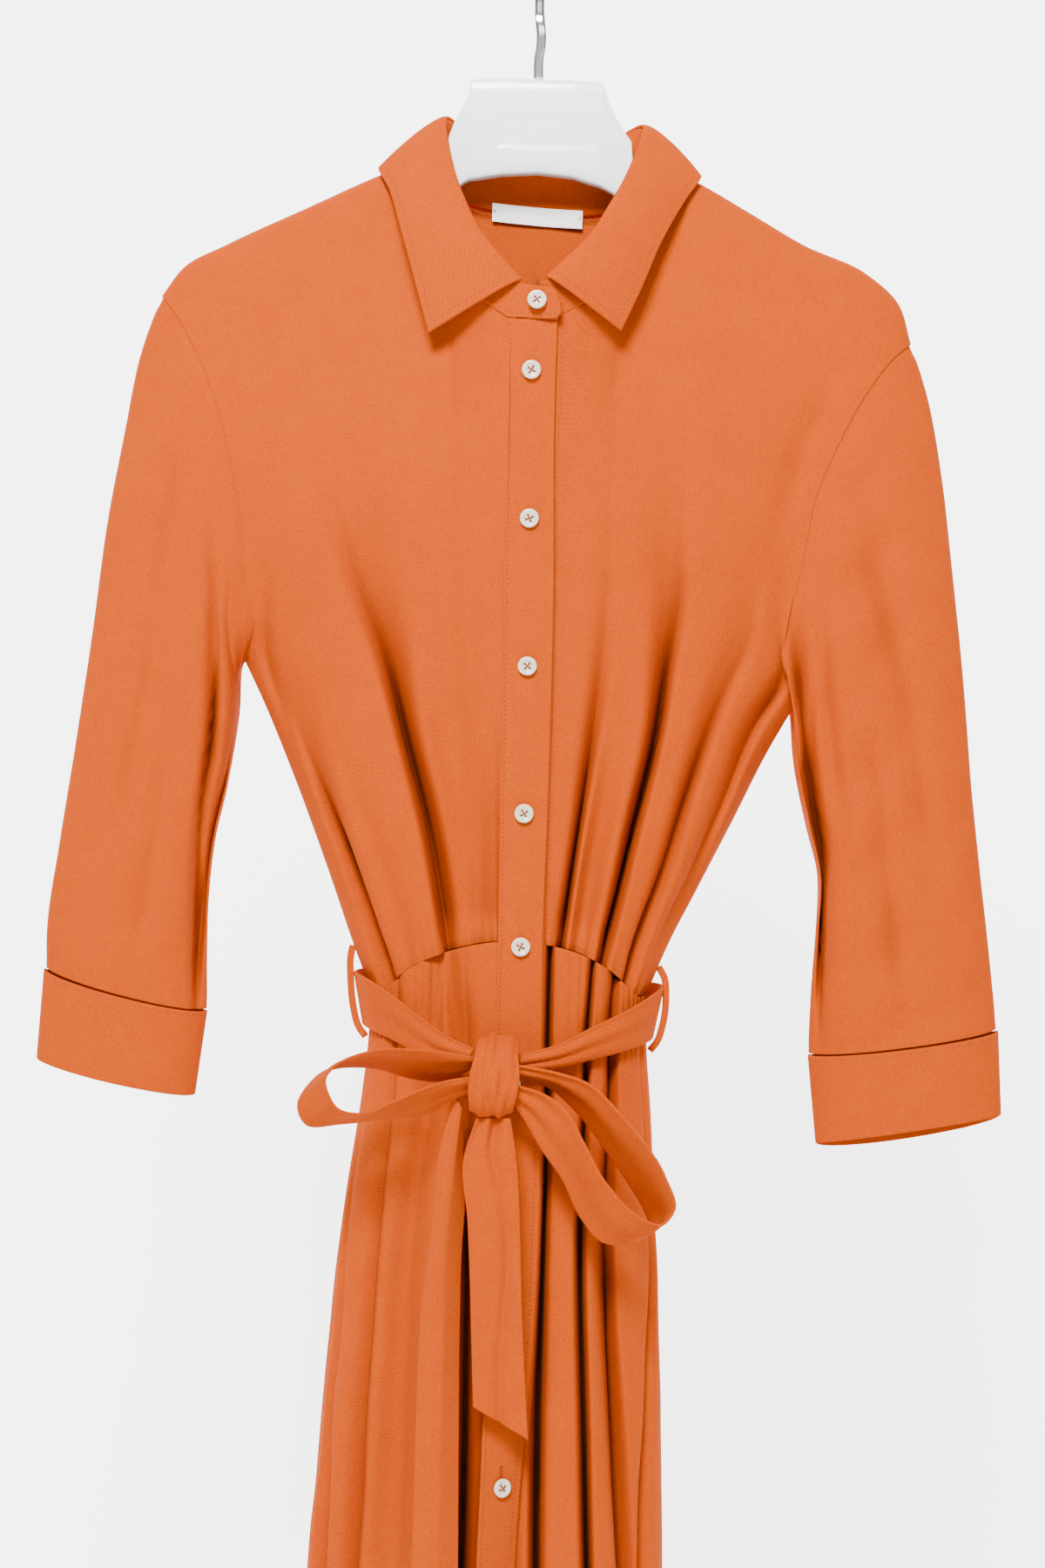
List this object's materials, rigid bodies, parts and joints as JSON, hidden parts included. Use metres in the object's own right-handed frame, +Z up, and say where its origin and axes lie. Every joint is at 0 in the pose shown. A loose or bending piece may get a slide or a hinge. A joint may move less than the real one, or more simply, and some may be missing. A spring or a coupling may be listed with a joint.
{
  "type": "shirt dress on a hanger",
  "caption": "Jersey shirt dress with collar, three-quarter sleeves, buttoned front and a tied belt, hanging from a moulded hanger.",
  "frame": {"origin": "top of the inside of the hanger's hook, where it rests on a rail", "axes": "+Z up, -Y out of the front of the dress, +X towards the wearer's left"},
  "size_m": [0.5697, 0.1937, 1.3124],
  "materials": {
    "jersey": "matt, finely ribbed burnt orange jersey",
    "shell": "polished cream buttons",
    "label": "woven off-white tape",
    "hanger": "glossy white moulding",
    "chrome": "polished hook"
  },
  "bodies": {
    "root": {"bodice_front_right": "jersey", "bodice_front_left": "jersey", "bodice_back": "jersey", "skirt_front_right": "jersey", "skirt_front_left": "jersey", "skirt_back": "jersey", "sleeve_right": "jersey", "sleeve_left": "jersey", "cuff_right": "jersey", "cuff_left": "jersey", "collar_stand": "jersey", "collar_fall": "jersey", "button_band": "jersey", "under_band": "jersey", "belt_waist": "jersey", "belt_loop_right": "jersey", "belt_loop_left": "jersey", "belt_end_wide": "jersey", "belt_end_long": "jersey", "belt_knot": "jersey", "belt_carrier_right": "jersey", "belt_carrier_left": "jersey", "button_01": "shell", "button_02": "shell", "button_03": "shell", "button_04": "shell", "button_05": "shell", "button_06": "shell", "button_07": "shell", "button_08": "shell", "button_09": "shell", "button_10": "shell", "button_11": "shell", "button_12": "shell", "button_13": "shell", "label": "label", "hanger_body": "hanger", "hanger_hook": "chrome"}
  },
  "joints": []
}
